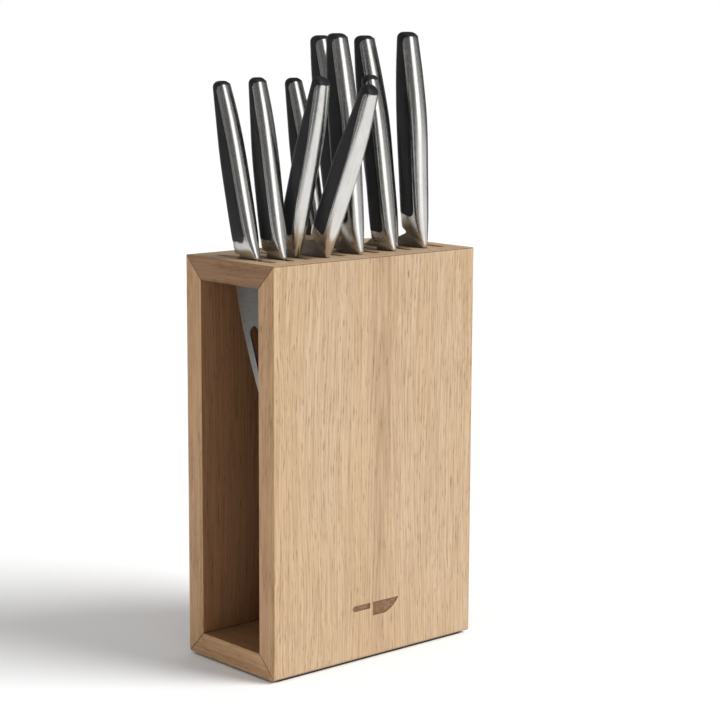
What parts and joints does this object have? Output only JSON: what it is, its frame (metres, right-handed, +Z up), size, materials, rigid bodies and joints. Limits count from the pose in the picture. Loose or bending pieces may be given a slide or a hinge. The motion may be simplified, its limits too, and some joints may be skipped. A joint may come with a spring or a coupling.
{
  "type": "knife block with knives",
  "caption": "Open wooden tunnel block with a row of slots in its top board and kitchen knives that stand in the slots and lift out.",
  "frame": {"origin": "centre of the base pad's underside, where the block rests", "axes": "+Z up, X along the row of slots with the first knife at -X, Y across the block with the marked side at -Y"},
  "size_m": [0.17, 0.1173, 0.4045],
  "materials": {
    "oak": "oiled light oak, fine straight grain",
    "pad_rubber": "matt black non-slip sheet",
    "blade_steel": "fine satin grind",
    "bolster_steel": "brushed along the handle",
    "grip_plastic": "fine matt black"
  },
  "bodies": {
    "block": {"top_board": "oak", "bottom_board": "oak", "near_side_board": "oak", "far_side_board": "oak", "base_pad": "pad_rubber"},
    "cheese_knife": {"cheese_knife_blade": "blade_steel", "cheese_knife_bolster": "bolster_steel", "cheese_knife_grip": "grip_plastic"},
    "paring_knife": {"paring_knife_blade": "blade_steel", "paring_knife_bolster": "bolster_steel", "paring_knife_grip": "grip_plastic"},
    "peeling_knife": {"peeling_knife_blade": "blade_steel", "peeling_knife_bolster": "bolster_steel", "peeling_knife_grip": "grip_plastic"},
    "vegetable_knife": {"vegetable_knife_blade": "blade_steel", "vegetable_knife_bolster": "bolster_steel", "vegetable_knife_grip": "grip_plastic"},
    "utility_knife": {"utility_knife_blade": "blade_steel", "utility_knife_bolster": "bolster_steel", "utility_knife_grip": "grip_plastic"},
    "carving_knife": {"carving_knife_blade": "blade_steel", "carving_knife_bolster": "bolster_steel", "carving_knife_grip": "grip_plastic"},
    "bread_knife": {"bread_knife_blade": "blade_steel", "bread_knife_bolster": "bolster_steel", "bread_knife_grip": "grip_plastic"},
    "boning_knife": {"boning_knife_blade": "blade_steel", "boning_knife_bolster": "bolster_steel", "boning_knife_grip": "grip_plastic"},
    "santoku_knife": {"santoku_knife_blade": "blade_steel", "santoku_knife_bolster": "bolster_steel", "santoku_knife_grip": "grip_plastic"},
    "chef_knife": {"chef_knife_blade": "blade_steel", "chef_knife_bolster": "bolster_steel", "chef_knife_grip": "grip_plastic"}
  },
  "joints": [
    {"name": "cheese_knife_lift", "type": "slide", "parent": "block", "child": "cheese_knife", "axis": [0, 0.1479, 0.989], "range_m": [0, 0.113]},
    {"name": "paring_knife_lift", "type": "slide", "parent": "block", "child": "paring_knife", "axis": [0, 0.0793, 0.9969], "range_m": [0, 0.09]},
    {"name": "peeling_knife_lift", "type": "slide", "parent": "block", "child": "peeling_knife", "axis": [0, -0.2902, 0.957], "range_m": [0, 0.08]},
    {"name": "vegetable_knife_lift", "type": "slide", "parent": "block", "child": "vegetable_knife", "axis": [0, -0.3749, 0.927], "range_m": [0, 0.077]},
    {"name": "utility_knife_lift", "type": "slide", "parent": "block", "child": "utility_knife", "axis": [0, 0.1325, 0.9912], "range_m": [0, 0.11]},
    {"name": "carving_knife_lift", "type": "slide", "parent": "block", "child": "carving_knife", "axis": [0, 0, 1], "range_m": [0, 0.205]},
    {"name": "bread_knife_lift", "type": "slide", "parent": "block", "child": "bread_knife", "axis": [0, 0.103, 0.9947], "range_m": [0, 0.205]},
    {"name": "boning_knife_lift", "type": "slide", "parent": "block", "child": "boning_knife", "axis": [0, 0, 1], "range_m": [0, 0.115]},
    {"name": "santoku_knife_lift", "type": "slide", "parent": "block", "child": "santoku_knife", "axis": [0, 0.0778, 0.997], "range_m": [0, 0.173]},
    {"name": "chef_knife_lift", "type": "slide", "parent": "block", "child": "chef_knife", "axis": [0, 0.0042, 1], "range_m": [0, 0.205]}
  ]
}
